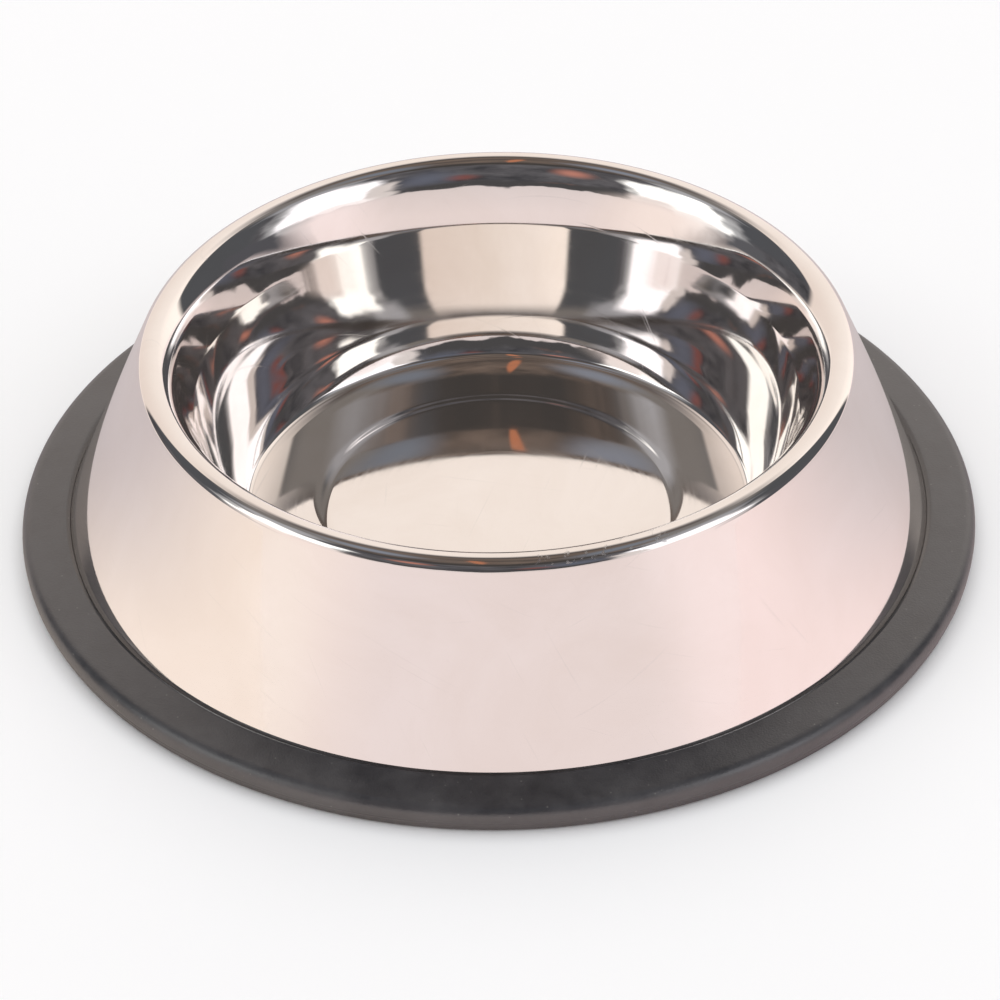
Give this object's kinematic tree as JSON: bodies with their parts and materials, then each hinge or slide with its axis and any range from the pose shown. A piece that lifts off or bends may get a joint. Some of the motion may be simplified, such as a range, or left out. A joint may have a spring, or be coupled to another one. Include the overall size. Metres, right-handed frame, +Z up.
{
  "type": "pet bowl",
  "caption": "Polished stainless pet bowl with a deep round well, a rolled lip, a wide sloping skirt and a black anti-slip rubber ring round its foot.",
  "frame": {"origin": "middle of the footprint, on the surface that the bowl stands on", "axes": "+Z up along the bowl's axis of symmetry; +X right and +Y away from the camera of the picture"},
  "size_m": [0.25, 0.25, 0.057],
  "materials": {
    "steel": "mirror-polished stainless steel sheet with faint hairline scratches",
    "rubber": "matte black moulded rubber with a fine parting line"
  },
  "bodies": {
    "root": {"steel_bowl": "steel", "rubber_ring": "rubber"}
  },
  "joints": []
}
